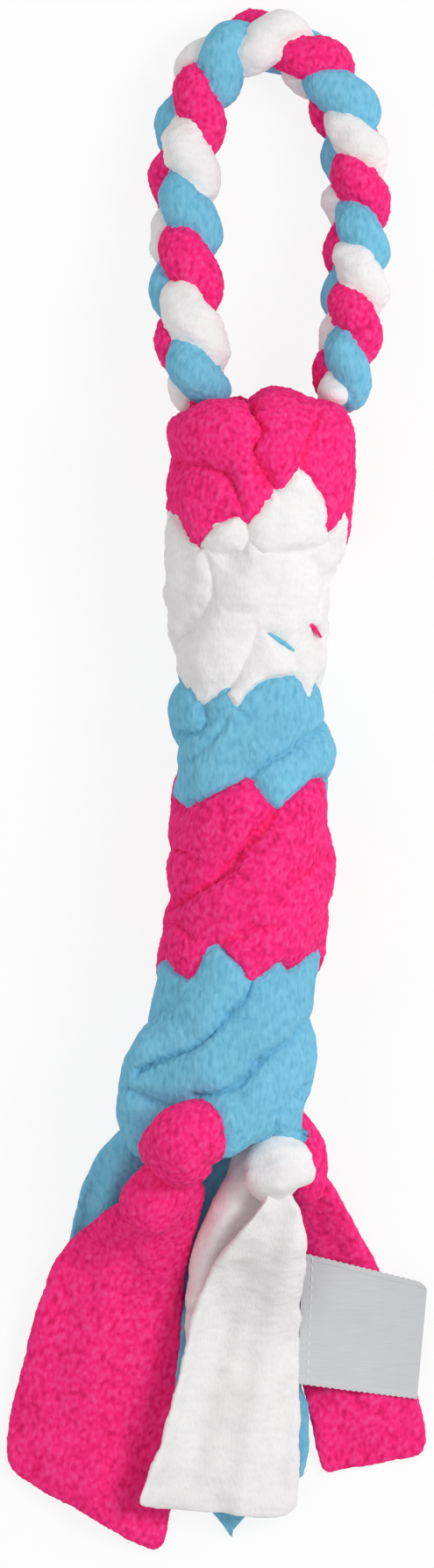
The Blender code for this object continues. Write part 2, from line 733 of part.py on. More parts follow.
def sheet_faces(rows, columns):
    """Faces of a closed sheet: its top grid, its bottom grid after it, and the rim between them."""
    faces = []
    under = rows * columns
    for row in range(rows - 1):
        for column in range(columns - 1):
            a = row * columns + column
            quad = (a, a + columns, a + columns + 1, a + 1)
            faces.append(quad)
            faces.append(tuple(under + corner for corner in reversed(quad)))
    rim = list(range(columns))
    rim += [row * columns + columns - 1 for row in range(1, rows)]
    rim += [(rows - 1) * columns + column for column in range(columns - 2, -1, -1)]
    rim += [row * columns for row in range(rows - 2, 0, -1)]
    for here, after in zip(rim, rim[1:] + rim[:1]):
        faces.append((here, after, under + after, under + here))
    return faces


def add_sheet(name, material, middle, half, origin):
    rise = np.zeros_like(middle)
    rise[..., 2] = half
    points = np.vstack([(middle + rise).reshape(-1, 3), (middle - rise).reshape(-1, 3)])
    return add_solid(name, material, points, sheet_faces(*middle.shape[:2]), origin)


def label_surface():
    """Grid of the label's middle, from its sewn edge outwards, drooping a little towards its free end."""
    corners = [np.array([x * HALF_WIDTH, tail_line(y)]) for x, y in LABEL_SHARES]
    top_start, foot_start, foot_end, top_end = corners
    out = np.linspace(0, 1, LABEL_ACROSS)[:, None, None]
    down = np.linspace(0, 1, LABEL_ALONG)[None, :, None]
    start = top_start * (1 - down) + foot_start * down
    end = top_end * (1 - down) + foot_end * down
    flat = start * (1 - out) + end * out
    droop = LABEL_DROP * smooth(out[..., 0]) + 0 * down[..., 0]
    return np.concatenate([flat, LABEL_HEIGHT - droop[..., None]], axis=-1)


def main():
    for leftover in list(bpy.data.objects):
        bpy.data.objects.remove(leftover)
    fleece = {
        "pink": make_material("pink_fleece", PINK, FLEECE_ROUGHNESS),
        "white": make_material("white_fleece", WHITE, FLEECE_ROUGHNESS),
        "blue": make_material("blue_fleece", BLUE, FLEECE_ROUGHNESS),
    }
    satin = make_material("label_satin", SATIN, SATIN_ROUGHNESS)
    route, _ = evenly(rope_route(), 3 * (STRAND_RINGS - 1) + 1)
    rope, travelled = evenly(route, len(route))
    surfaces = {name: tail_surface(name) for name in TAIL_SHARES}
    sweep_middles, sweep_radii = fold_sweep(rope)
    tail_middles = np.vstack([middle.reshape(-1, 3) for middle, _ in surfaces.values()])
    tail_radii = np.concatenate([half.ravel() for _, half in surfaces.values()])
    near_body = tail_middles[:, 1] > tail_line(TAIL_NEAR_SHARE)
    domes = np.array([tail_pivot(name) for name in TAIL_SHARES])
    balls = (
        np.vstack([sweep_middles, tail_middles[near_body], domes]),
        np.concatenate([sweep_radii, tail_radii[near_body], np.full(len(domes), NECK_RADIUS + LEAST_GAP)]),
    )
    turns = turn_tubes()
    knuckles = {tube.name: tube.middle[len(tube.middle) // 2] for tube in turns if "knuckle" in tube.name}
    core = [core_tube(name, row, knuckles) for name, row in CORE_SHARES.items()]
    crowd = Crowd(turns + core + plait_tubes(rope, travelled), rope, balls)
    fold_origin = np.array([LOOP_MIDDLE, FOLD_LINE, FOLD_HEIGHT])
    for tube in crowd.tubes:
        origin = fold_origin if tube.moves else tube.middle[len(tube.middle) // 2]
        add_tube(tube, crowd.swell(tube), fleece[tube.colour], origin)
    for name, (middle, half) in surfaces.items():
        add_sheet(name, fleece[TAIL_SHARES[name]["colour"]], middle, half, tail_pivot(name))
    middle = label_surface()
    half = np.full(middle.shape[:2], LABEL_THICKNESS / 2)
    add_sheet("label", satin, middle, half, middle[0, 0])


main()
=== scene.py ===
"""Dog tug toy of plaited and knotted fleece strips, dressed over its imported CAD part.

Each operator makes one group of pieces from the part's own solids: it copies them, rounds them, lets them
swell until neighbours touch, and raises the fleece's nap on them. Lengths are in metres, if nothing else is
said, in the part's frame: +Y from the tails to the hand loop, +Z up from the floor.
"""

import math

import bpy
import numpy as np
from bpy.props import FloatProperty, FloatVectorProperty, IntProperty, PointerProperty
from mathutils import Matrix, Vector, noise
from mathutils.bvhtree import BVHTree


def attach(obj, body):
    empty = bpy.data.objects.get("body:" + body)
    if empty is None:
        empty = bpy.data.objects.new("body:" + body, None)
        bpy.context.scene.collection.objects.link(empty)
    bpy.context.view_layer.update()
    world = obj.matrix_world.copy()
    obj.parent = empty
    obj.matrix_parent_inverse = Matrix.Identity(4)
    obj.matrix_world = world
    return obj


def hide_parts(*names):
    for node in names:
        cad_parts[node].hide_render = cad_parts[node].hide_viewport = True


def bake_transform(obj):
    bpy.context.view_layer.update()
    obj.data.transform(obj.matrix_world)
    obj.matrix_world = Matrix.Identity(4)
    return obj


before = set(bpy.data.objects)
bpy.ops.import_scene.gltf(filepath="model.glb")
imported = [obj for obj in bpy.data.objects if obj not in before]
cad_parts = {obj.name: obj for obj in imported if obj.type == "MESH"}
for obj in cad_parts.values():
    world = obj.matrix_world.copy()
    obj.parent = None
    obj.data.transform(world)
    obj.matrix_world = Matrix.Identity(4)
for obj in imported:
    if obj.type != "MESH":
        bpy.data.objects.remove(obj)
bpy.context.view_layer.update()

bl_info = {
    "name": "Plaited Fleece Tug Toy",
    "version": (1, 0, 0),
    "blender": (4, 5, 0),
    "location": "3D View > Sidebar > Tug Toy",
    "description": "Builds a knotted and plaited fleece tug toy with its tails, label and studio",
    "category": "Add Mesh",
}

# Drawn lines and places were picked as (right, down) pixels of the picture
PIXEL = 0.00025
ORIGIN = (246.5, 892.5)  # the pixel over the frame's origin

# Thin bits of other strips that show in the white band's creases: colour, start and stop
SLIVERS = (
    ("blue", (303, 721), (336, 743)),
    ("pink", (354, 712), (367, 727)),
)
SLIVER_RISE, SLIVER_RADIUS = 0.0004, 0.0007  # how far they stand out of the crease
SLIVER_NAP = 0.5
BODY = "knotted_body"
BANDS = {
    "pink_collar": "pink",
    "white_band": "white",
    "blue_band": "blue",
    "pink_band": "pink",
    "blue_foot": "blue",
}
# Each knuckle: its colour, and the folds that fill it out, as (centre, half sizes)
KNUCKLES = {
    "pink_knuckle": (
        "pink",
        (
            ((-0.0050, -0.0992, 0.0415), (0.0088, 0.0094, 0.0090)),
            ((-0.0156, -0.1032, 0.0370), (0.0056, 0.0070, 0.0066)),
        ),
    ),
    "white_knuckle": ("white", (((0.0164, -0.1088, 0.0300), (0.0086, 0.0104, 0.0090)),)),
}
CORES = ("pink", "white", "blue")
CORE_GRAIN, CORE_SWELL, CORE_NAP = 1.5, 0.0003, 0.6
# Each tail: its colour, the body it rides on, the flat size that its strip was cut to (width, length, area),
# and the place under the knots that its neck is drawn up to
TAILS = {
    "pink_tail_left": ("pink", "pink_left", (0.060, 0.118, 0.0048), (-0.0105, -0.1055, 0.0340)),
    "pink_tail_right": ("pink", "pink_right", (0.036, 0.100, 0.0027), (0.0215, -0.0930, 0.0170)),
    "white_tail_upper": ("white", "white_upper", (0.048, 0.100, 0.0035), (0.0180, -0.1135, 0.0305)),
    "white_tail_lower": ("white", "white_lower", (0.026, 0.095, 0.0022), (0.0100, -0.1010, 0.0210)),
    "blue_tail_left": ("blue", "blue_left", (0.030, 0.056, 0.0015), (-0.0190, -0.0920, 0.0200)),
    "blue_tail_middle": ("blue", "blue_middle", (0.035, 0.112, 0.0034), (0.0060, -0.0990, 0.0140)),
}
NECK, NECK_END = 0.016, 0.002  # how much of a tail is drawn up into its knot, and how much is its end
THINNEST = 0.5  # a fold leaves a strip at least this share of its height over the floor
TAIL_SWELL = 0.0002
TAIL_NAP = 0.7  # the nap's share on a tail, which is laid flat
# What fills out a tail where it leaves the foot: centre and half sizes
LOBES = {
    "blue_tail_middle": ((-0.0010, -0.1136, 0.0050), (0.0048, 0.0085, 0.0042)),
    "pink_tail_left": ((-0.0175, -0.1180, 0.0262), (0.0108, 0.0105, 0.0050)),
    "pink_tail_right": ((0.0288, -0.1085, 0.0150), (0.0062, 0.0125, 0.0060)),
}
# How each tail lies, as folds: height and half width in millimetres, and the drawn line
FOLDS = {
    "pink_tail_left": (
        (4.2, 12, ((176, 1375), (125, 1470), (98, 1560), (84, 1650), (104, 1725))),
        (-3.2, 7, ((226, 1400), (207, 1500), (194, 1600), (184, 1700))),
        (1.2, 5, ((60, 1470), (40, 1560), (48, 1660))),
        (-1.6, 4.5, ((150, 1420), (140, 1530), (150, 1650))),
    ),
    "pink_tail_right": (
        (0.5, 7, ((375, 1380), (420, 1500), (440, 1640))),
        (-0.9, 4, ((362, 1560), (385, 1620), (400, 1690))),
        (1.4, 4, ((365, 1300), (388, 1360), (420, 1430))),
        (-2.4, 6.5, ((356, 1424.5), (349, 1588.5))),
    ),
    "white_tail_upper": (
        (
            4.8,
            2.6,
            (
                (300, 1372), (268, 1411), (238, 1458), (221, 1504), (210, 1551), (199, 1597), (186, 1643),
                (168, 1690), (153, 1722),
            ),
        ),
        (-1.7, 4, ((322, 1392), (286, 1450), (258, 1520), (238, 1600), (214, 1690))),
        (1.5, 4, ((338, 1420), (312, 1500), (292, 1600), (272, 1730))),
        (-1.2, 3, ((346, 1440), (334, 1560), (318, 1690))),
        (1, 3, ((300, 1420), (276, 1500), (262, 1560))),
    ),
    "white_tail_lower": (
        (6.5, 5, ((288, 1340), (264, 1386), (246, 1434), (236, 1480))),
    ),
    "blue_tail_left": (
        (1.6, 4, ((150, 1290), (120, 1370), (110, 1460))),
        (-1.2, 3, ((128, 1300), (98, 1380), (90, 1460))),
    ),
    "blue_tail_middle": (
        (0.8, 5, ((262, 1340), (270, 1500), (265, 1700))),
    ),
}
# What brings tails to the sides that show. A stretch moves points away from x = fixed, a shift all alike.
# Each may grow from nothing to full over a range along y or across x, given as (start, extent).
TRIMS = {
    "blue_tail_middle": (
        {"stretch": 0.10, "fixed": 0.0255},
        {"shift": 0.0020, "along": (-0.1740, -0.004), "across": (0.0150, 0.010)},
        {"stretch": -0.84, "fixed": 0.0040, "along": (-0.1985, -0.016)},
    ),
    "white_tail_lower": ({"shift": -0.0024, "across": (0.0120, -0.014)},),
    "pink_tail_right": ({"stretch": 0.11, "fixed": 0.0609, "along": (-0.1860, 0.020)},),
}
# The label's sewn top corner, its side away from there to the free end, and its side along the seam, in
# millimetres
LABEL_FRAME = ((26.4, -135.0), (34.3, -8.6), (-1.5, -37.4))
LABEL_TAPER = 0.0042  # how much shorter the free end looks, as it curls
LABEL_ROUND = 0.0026  # radius of the free end's rounded corner
LABEL_FACES = 40000
LABEL_BEND = math.radians(40)  # edges sharper than this stay sharp
SEAM_UNDER = 0.0016  # how far the sewn end runs beneath the tail
HEM_WIDTH, HEM_RISE = 0.0015, 0.00014
EDGE_DEPTH, EDGE_SIZE, EDGE_REACH = 0.00014, 0.00026, 0.0004  # the woven edge's small waves
LABEL_RISE = 0.0006
# How the free end bends from hem to hem, and how the ribbon sags from the seam to there: depth and radians
CURL_RISE, CURL_TURN = 0.0010, 3.4
SAG, SAG_TURN = 0.0006, 3.0
STITCH_INSET, STITCH_SHARE, STITCH_WIDTH, STITCH_HEIGHT = 0.0012, 0.36, 0.00024, 0.00022

# Where the camera and the lamps look, and each lamp's place, size and share of the power
MIDDLE = Vector((0.00025, -0.00025, 0.0232))
LAMPS = (((0.75, 0.22, 0.95), 0.45, 0.86), ((-0.70, -0.30, 1.00), 0.9, 0.14))
FLOOR_SIZE, FLOOR_WHITE = 60, 0.85  # the floor's side, and how much of it the camera sees as plain white
SENSOR, CLIP_END = 36, 100


def from_picture(line):
    """Where places picked in the picture lie in the frame, seen from above."""
    return (np.array(line) - ORIGIN) * (PIXEL, -PIXEL)


def linear(red, green, blue):
    """A colour picked as 0 to 255 screen values, as the shader takes it."""
    shares = [level / 255 for level in (red, green, blue)]
    return [s / 12.92 if s <= 0.04045 else ((s + 0.055) / 1.055) ** 2.4 for s in shares]


def cad_nodes(start):
    """The CAD nodes of this family, such as all the turns of one band."""
    return sorted(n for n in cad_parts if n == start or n.startswith((start + "_turn", start + "_back")))


# Shaping

TINY = 1e-6  # points closer than this are one
QUAD_BEND, QUAD_SKEW = math.radians(50), math.radians(60)


def grain_of(look):
    """The finest modelled detail."""
    return look.grain * 1.0


def alone(*pieces):
    """Selects these objects and nothing else, the first of them active."""
    bpy.ops.object.select_all(action="DESELECT")
    for piece in pieces:
        piece.select_set(True)
    bpy.context.view_layer.objects.active = pieces[0]


def applied(piece, kind, **settings):
    """Adds a modifier with these settings and applies it."""
    modifier = piece.modifiers.new(kind.title(), kind)
    for name, value in settings.items():
        setattr(modifier, name, value)
    alone(piece)
    bpy.ops.object.modifier_apply(modifier=modifier.name)


def divided(piece, levels):
    applied(piece, "SUBSURF", levels=levels, render_levels=levels)


def swollen(piece, distance):
    applied(piece, "DISPLACE", strength=distance, mid_level=0)


def merged(piece, voxel):
    """Makes one closed surface of all that the piece holds, with faces of this size."""
    applied(piece, "REMESH", mode="VOXEL", voxel_size=voxel, adaptivity=0)


def smoothed(piece, rounds):
    applied(piece, "SMOOTH", factor=0.5, iterations=rounds)


def copy_of(name, nodes):
    """A new object that holds these CAD nodes' solids, each merged to a whole surface of quads."""
    copies = []
    for node in nodes:
        copy = bpy.data.objects.new(name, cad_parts[node].data.copy())
        bpy.context.scene.collection.objects.link(copy)
        copies.append(copy)
    alone(*copies)
    if len(copies) > 1:
        bpy.ops.object.join()
    piece = copies[0]
    piece.data.materials.clear()
    bpy.ops.object.mode_set(mode="EDIT")
    bpy.ops.mesh.select_all(action="SELECT")
    bpy.ops.mesh.remove_doubles(threshold=TINY)
    bpy.ops.mesh.customdata_custom_splitnormals_clear()
    bpy.ops.mesh.tris_convert_to_quads(face_threshold=QUAD_BEND, shape_threshold=QUAD_SKEW)
    bpy.ops.object.mode_set(mode="OBJECT")
    return piece


def with_ball(piece, place, sizes):
    """Joins a rounded lobe with these half sizes to the piece."""
    bpy.ops.mesh.primitive_uv_sphere_add(radius=1, location=place, scale=sizes)
    lobe = bpy.context.object
    alone(piece, lobe)
    bpy.ops.object.join()


def plump(piece, voxel, grow):
    """Rounds the solid's facets, lets it swell by grow and smooths what it then is."""
    divided(piece, 2)
    swollen(piece, grow)
    merged(piece, voxel)
    smoothed(piece, PLUMP_ROUNDS)


# The knotted body's skin

# Where one band ends and the next begins, on the side that lies up
BORDERS = (
    # pink collar to white band
    (
        (120, 585), (180, 586), (196, 590), (205, 605), (222, 629), (229, 614), (245, 600), (262, 590),
        (272, 588), (281, 599), (290, 586), (305, 575), (322, 562), (335, 550), (345, 540), (355, 544),
        (366, 556), (374, 572), (377, 612), (388, 603), (397, 592), (412, 575), (470, 570),
    ),
    # white band to blue band
    (
        (120, 757), (185, 764), (201, 774), (208, 784), (218, 797), (228, 804), (240, 796), (256, 786),
        (262, 799), (270, 806), (280, 795), (300, 783), (320, 773), (340, 768), (350, 775), (358, 790),
        (368, 779), (380, 769), (470, 765),
    ),
    # blue band to pink band
    (
        (120, 908), (190, 911), (205, 918), (222, 914), (240, 905), (262, 893), (282, 883), (290, 890),
        (300, 905), (310, 918), (318, 923), (330, 912), (345, 900), (360, 888), (367, 885), (378, 893),
        (388, 900), (470, 905),
    ),
    # pink band to blue foot
    (
        (110, 1070), (176, 1090), (190, 1101), (205, 1113), (212, 1115), (219, 1104), (229, 1089),
        (240, 1078), (248, 1075), (258, 1084), (270, 1098), (280, 1113), (289, 1119), (300, 1111),
        (315, 1100), (326, 1096), (331, 1105), (339, 1105), (350, 1096), (362, 1088), (372, 1078),
        (470, 1070),
    ),
)
# Where turns press together on that side: depth and half width in millimetres, and the drawn line
CREASES = (
    (2, 5.4, ((186, 527), (215, 533), (240, 538), (258, 546))),
    (2, 5.1, ((258, 546), (268, 566), (281, 600))),
    (3, 6.5, ((284, 455), (292, 470), (300, 490), (289, 515), (300, 540), (320, 565))),
    (3.6, 4.4, ((282, 450), (293, 472), (300, 490), (291, 512))),
    (6, 5.2, ((278, 440), (290, 464))),
    (2.5, 6.3, ((362, 478), (355, 505), (347, 542))),
    (2.4, 5.4, ((222, 628), (231, 626), (240, 635), (258, 638), (276, 632), (283, 618), (281, 598))),
    (2.1, 5.8, ((283, 618), (298, 632), (330, 634), (352, 632), (376, 622))),
    (2.6, 7, ((231, 636), (238, 660), (237, 684), (225, 706), (208, 723), (190, 738))),
    (1.6, 7.4, ((330, 634), (320, 655), (317, 680), (309, 702), (294, 720))),
    (2.7, 6.7, ((294, 720), (284, 742), (271, 766), (256, 788))),
    (2.1, 4.8, ((294, 716), (306, 721), (322, 729), (337, 744), (344, 760), (352, 776))),
    (2.4, 5.4, ((337, 744), (350, 730), (360, 716), (378, 733))),
    (1.6, 5.1, ((352, 632), (366, 648), (374, 668), (370, 700), (360, 716))),
    (1.1, 5.8, ((238, 684), (262, 700), (290, 706), (309, 702))),
    (2.1, 6.3, ((228, 804), (234, 820), (226, 834), (205, 838), (180, 830))),
    (1.2, 5.4, ((258, 788), (264, 808), (284, 818))),
    (2, 6.3, ((384, 822), (352, 843), (330, 857), (305, 870), (284, 882))),
    (1, 6, ((264, 808), (244, 842), (216, 866), (186, 876))),
    (2.8, 6.3, ((318, 923), (306, 940), (286, 958), (270, 974), (262, 986))),
    (3, 6.3, ((262, 986), (246, 998), (226, 1011), (206, 1024), (184, 1036))),
    (0.9, 5.4, ((262, 986), (282, 1004), (304, 1022), (330, 1034))),
    (1.4, 5.4, ((248, 1075), (264, 1068), (286, 1060), (312, 1056))),
    (1.2, 6, ((396, 962), (366, 984), (340, 1000))),
    (1.4, 5.7, ((176, 1052), (196, 1052), (214, 1066))),
    (1.4, 5.7, ((180, 962), (204, 970), (222, 984))),
    (2.8, 6.4, ((289, 1119), (284, 1136), (260, 1156), (240, 1176), (214, 1192), (190, 1202), (152, 1222))),
    (
        2.8,
        6.4,
        (
            (372, 1146), (352, 1166), (336, 1188), (314, 1198), (297, 1209), (284, 1223), (266, 1236),
            (244, 1244), (222, 1250),
        ),
    ),
    (1, 6, ((200, 1112), (202, 1130), (188, 1148), (172, 1156))),
    (1.4, 6.3, ((326, 1096), (322, 1112), (300, 1126), (284, 1136))),
    (1.6, 6.6, ((140, 1240), (168, 1254), (190, 1262))),
    (1.3, 6.3, ((352, 1236), (334, 1252), (318, 1280), (312, 1300))),
)
# What fills the middle that the turns are wound round, and the foot's heel: start, stop and radius
HOLLOWS = (
    ((0.0115, 0.0980, 0.0232), (0.0025, -0.0960, 0.0232), 0.0120),
    ((0.0260, 0.0640, 0.0225), (0.0280, 0.0985, 0.0225), 0.0110),
    ((0.0120, -0.0700, 0.0215), (0.0140, -0.1030, 0.0215), 0.0120),
)
# How far solids swell to grow together before they are pressed back, and how far the skin then stands out
BRIDGE, ROPE_BRIDGE = 0.0064, 0.0036
BODY_RISE, ROPE_RISE = 0.0009, 0.0022
COARSE = 4  # the grown solids are merged in voxels this many times the grain
# How often the grown solids, the finished skin, a knuckle, a strand and any other piece are smoothed
BODY_ROUNDS, ROPE_ROUNDS, SKIN_ROUNDS = 10, 3, 8
KNUCKLE_ROUNDS, STRAND_ROUNDS, PLUMP_ROUNDS = 9, 2, 3
# Depth and half width of creases that follow the solids below and on the sides, of borders, and of the hand
# loop's creases
CREASE_DEPTH, CREASE_HALF = 0.0020, 0.0034
BORDER_DEPTH, BORDER_HALF = 0.0017, 0.0050
ROPE_DEPTH, ROPE_HALF = 0.0017, 0.0032
GROOVE = 0.28  # how wide a sharp crease's groove is, as a share of its width
FRAY, FRAY_SIZE = 0.00010, 0.0019  # how unevenly the nap laps over a crease or a border
# Over this stretch inside its borders the white band's creases turn wider and blunter, by these shares
SOFT, WHITE_WIDER, WHITE_BLUNT = 0.002, 0.3, 0.9
REACH = 0.012  # how far from a turn its distance is still measured
NEAR = REACH - 0.0002  # below this distance a turn counts as near
INSIDE = 0.01  # a point counts as at most this far inside a band, or outside
# Where the drawn lines hold: from this slope of the surface on, over this stretch of slopes, and past this
# distance from every turn, over this one
TOP_SLOPE, TOP_BLEND = -0.05, 0.25
HEEL_FROM, HEEL_BLEND = 0.0080, 0.003
UNDERLAP, ROPE_UNDERLAP = 0.0026, 0.0016  # how far a band runs on beneath the next one
TUCK = 1.3  # how steeply it dives there
SHELL = 0.0028
CORE_COVER = 0.0030  # how far a core strip stays beneath the bands
ABOVE = 0.1  # higher than all of the toy
SPECK = 300  # islands of fewer points than this are crumbs that the parting leaves


def skin_of(name, nodes, voxel, rise, bridge, rounds, hollows=()):
    """One smooth skin over all these solids, which swell, grow together, and are pressed back."""
    skin = copy_of(name, nodes)
    divided(skin, 1)
    fillers = [skin]
    for start, stop, radius in hollows:
        start, stop = Vector(start), Vector(stop)
        turn = (stop - start).to_track_quat("Z", "Y").to_euler()
        bpy.ops.mesh.primitive_cylinder_add(
            radius=radius, depth=(stop - start).length, location=(start + stop) / 2, rotation=turn
        )
        fillers.append(bpy.context.object)
    alone(*fillers)
    bpy.ops.object.join()
    swollen(skin, bridge)
    merged(skin, COARSE * voxel)
    smoothed(skin, rounds)
    swollen(skin, rise - bridge)
    smoothed(skin, rounds // 2)
    divided(skin, 1)
    merged(skin, voxel)
    smoothed(skin, SKIN_ROUNDS)
    return skin


def blend_in(values, start, extent):
    """How far the values have come from start over the extent, from 0 to 1."""
    return np.clip((values - start) / extent, 0, 1)


def line_distance(points, line):
    """How far each point lies from a drawn line, seen from above."""
    corners = from_picture(line)
    found = np.full(len(points), 1.0)
    for start, stop in zip(corners, corners[1:]):
        along = stop - start
        share = np.clip((points[:, :2] - start) @ along / (along @ along), 0, 1)
        found = np.minimum(found, np.linalg.norm(points[:, :2] - start - share[:, None] * along, axis=1))
    return found


def past(points, line):
    """How far each point lies past a border towards the tails, and negative before it."""
    corners = from_picture(line)
    edge = np.interp(points[:, 0], corners[:, 0], corners[:, 1])
    return np.copysign(line_distance(points, line), edge - points[:, 1])


def dent(distance, depth, half, sharp=0.8):
    """A soft crease, gone half its width away, with a groove along its line where it is sharp."""
    slope = (1 - np.clip(distance / half, 0, 1)) ** 2
    groove = (1 - np.clip(distance / (GROOVE * half), 0, 1)) ** 2
    return depth * ((1 - 0.3 * sharp) * slope + 0.65 * sharp * groove)


def tree_of(piece):
    """The piece's faces, to find the nearest one or what a ray meets."""
    return BVHTree.FromPolygons(points_of(piece).tolist(), [face.vertices[:] for face in piece.data.polygons])


def dropped(tree, place):
    """The point of the surface that lies straight below this place, seen from above."""
    return tree.ray_cast(Vector((*place, ABOVE)), Vector((0, 0, -1)))[0]


def turn_distances(points, nodes, reach):
    """How far each point lies from each turn's solid, at most reach."""
    found = np.full((len(nodes), len(points)), reach)
    for row, node in zip(found, nodes):
        turn = copy_of("measured_turn", [node])
        divided(turn, 2)
        corners, tree = points_of(turn), tree_of(turn)
        near = ((points > corners.min(0) - reach) & (points < corners.max(0) + reach)).all(1).nonzero()[0]
        row[near] = [tree.find_nearest(point)[3] for point in points[near].tolist()]
        bpy.data.objects.remove(turn)
    return np.minimum(found, reach)


def values_of(piece, name):
    """The mesh's points or normals, one row each."""
    found = np.empty(len(piece.data.vertices) * 3, np.float32)
    piece.data.vertices.foreach_get(name, found)
    return found.reshape(-1, 3).astype(float)


def points_of(piece):
    return values_of(piece, "co")


def normals_of(piece):
    return values_of(piece, "normal")


def keep_points(piece, kept):
    """Deletes the piece's points that aren't kept."""
    alone(piece)
    bpy.ops.object.mode_set(mode="EDIT")
    bpy.ops.mesh.select_mode(type="VERT")
    bpy.ops.mesh.select_all(action="DESELECT")
    bpy.ops.object.mode_set(mode="OBJECT")
    piece.data.vertices.foreach_set("select", ~kept)
    bpy.ops.object.mode_set(mode="EDIT")
    bpy.ops.mesh.delete(type="VERT")
    bpy.ops.object.mode_set(mode="OBJECT")


def island_sizes(piece):
    """How many points the island that each point belongs to has."""
    edges = np.empty(len(piece.data.edges) * 2, np.int32)
    piece.data.edges.foreach_get("vertices", edges)
    one, other = edges.reshape(-1, 2).T
    island = np.arange(len(piece.data.vertices))
    while (island[one] != island[other]).any():
        lowest = np.minimum(island[one], island[other])
        np.minimum.at(island, one, lowest)
        np.minimum.at(island, other, lowest)
        island = island[island]
    return np.bincount(island, minlength=len(island))[island]


def move_points(piece, points):
    piece.data.vertices.foreach_set("co", points.astype(np.float32).ravel())
    piece.data.update()


def ripple(points, size, basis="PERLIN_ORIGINAL"):
    """Noise over the points, one wave per size along each axis, with mean 0 and spread 1."""
    scaled = (points / np.array(size)).tolist()
    found = np.array([noise.noise(point, noise_basis=basis) for point in scaled])
    return (found - found.mean()) / found.std()


# What the nap of each fleece does to the surface: wave size along x, y and z, depth, and kind of wave. The
# first wave is the lumps, the others are the pile. The last number is how strongly the pile shows as colour:
# painted shade where it is sunk and a painted highlight where it stands up.
NAPS = {
    "pink": (
        ((0.0075, 0.0090, 0.0075), 0.00024, "PERLIN_ORIGINAL"),
        ((0.0014, 0.0019, 0.0014), -0.00009, "VORONOI_F1"),
        ((0.0010, 0.0015, 0.0010), 0.00008, "PERLIN_ORIGINAL"),
        0.80,
    ),
    "white": (
        ((0.0085, 0.0060, 0.0085), 0.00034, "PERLIN_ORIGINAL"),
        ((0.0040, 0.0014, 0.0026), 0.00008, "PERLIN_ORIGINAL"),
        0.25,
    ),
    "blue": (
        ((0.0080, 0.0080, 0.0080), 0.00022, "PERLIN_ORIGINAL"),
        ((0.0011, 0.0024, 0.0012), 0.00007, "PERLIN_ORIGINAL"),
        0.50,
    ),
}


def raise_nap(piece, colour, share=1.0):
    """Raises lumps and pile on the surface, rests it on the floor, and keeps the pile for the material, which
    paints shade where it is sunk and a highlight where it stands up.
    """
    points, normals = points_of(piece), normals_of(piece)
    *waves, shown = NAPS[colour]
    pile = np.zeros(len(points))
    for row, (size, depth, basis) in enumerate(waves):
        wave = ripple(points, size, basis)
        points = points + (share * depth * wave)[:, None] * normals
        # The pile's height, which the material turns into painted shade in its hollows and a painted
        # highlight on its tufts
        pile += (row > 0) * np.sign(depth) * wave / math.sqrt(len(waves) - 1)
    points[:, 2] = np.maximum(points[:, 2], 0)
    move_points(piece, points)
    kept = piece.data.attributes.new("pile", "FLOAT", "POINT")
    kept.data.foreach_set("value", (shown * pile).astype(np.float32))
    alone(piece)
    bpy.ops.object.shade_smooth()


# Materials


def node_in(tree, kind, **values):
    """A new shader node, with its own settings and its sockets' values given by name."""
    node = tree.nodes.new(kind)
    for name, value in values.items():
        if hasattr(node, name):
            setattr(node, name, value)
        else:
            node.inputs[name.replace("_", " ")].default_value = value
    return node


def ramp_in(tree, value, *stops):
    """A colour ramp over a value, from (place, colour) stops."""
    ramp = tree.nodes.new("ShaderNodeValToRGB")
    tree.links.new(value, ramp.inputs["Fac"])
    while len(ramp.color_ramp.elements) < len(stops):
        ramp.color_ramp.elements.new(1.0)
    for element, (place, colour) in zip(ramp.color_ramp.elements, stops):
        element.position = place
        element.color = (*colour, 1)
    return ramp.outputs["Color"]


def noise_in(tree, places, scale, detail=2.0, roughness=0.5, stretch=(1, 1, 1)):
    """Noise on the piece's own coordinates, scale waves to the metre."""
    mapping = node_in(tree, "ShaderNodeMapping")
    mapping.inputs["Scale"].default_value = stretch
    tree.links.new(places, mapping.inputs["Vector"])
    texture = node_in(tree, "ShaderNodeTexNoise", Scale=scale, Detail=detail, Roughness=roughness)
    tree.links.new(mapping.outputs["Vector"], texture.inputs["Vector"])
    return texture.outputs["Fac"]


def washed(tree, tint, wash, factor):
    """The tint, darkened by the wash."""
    mix = tree.nodes.new("ShaderNodeMix")
    mix.data_type = "RGBA"
    mix.blend_type = "MULTIPLY"
    mix.inputs["Factor"].default_value = factor
    tree.links.new(tint, mix.inputs["A"])
    tree.links.new(wash, mix.inputs["B"])
    return mix.outputs["Result"]


def roughen(tree, shader, weave, lowest, highest, bump, depth):
    """Roughness and bump, both from the same fine weave or fuzz."""
    rough = node_in(tree, "ShaderNodeMapRange", To_Min=lowest, To_Max=highest)
    tree.links.new(weave, rough.inputs["Value"])
    tree.links.new(rough.outputs["Result"], shader.inputs["Roughness"])
    raised = node_in(tree, "ShaderNodeBump", Strength=bump, Distance=depth)
    tree.links.new(weave, raised.inputs["Height"])
    tree.links.new(raised.outputs["Normal"], shader.inputs["Normal"])


def started(name):
    """A new material, with its tree, its shader and the piece's own coordinates."""
    material = bpy.data.materials.new(name)
    material.use_nodes = True
    tree = material.node_tree
    places = tree.nodes.new("ShaderNodeTexCoord").outputs["Object"]
    return material, tree, tree.nodes["Principled BSDF"], places


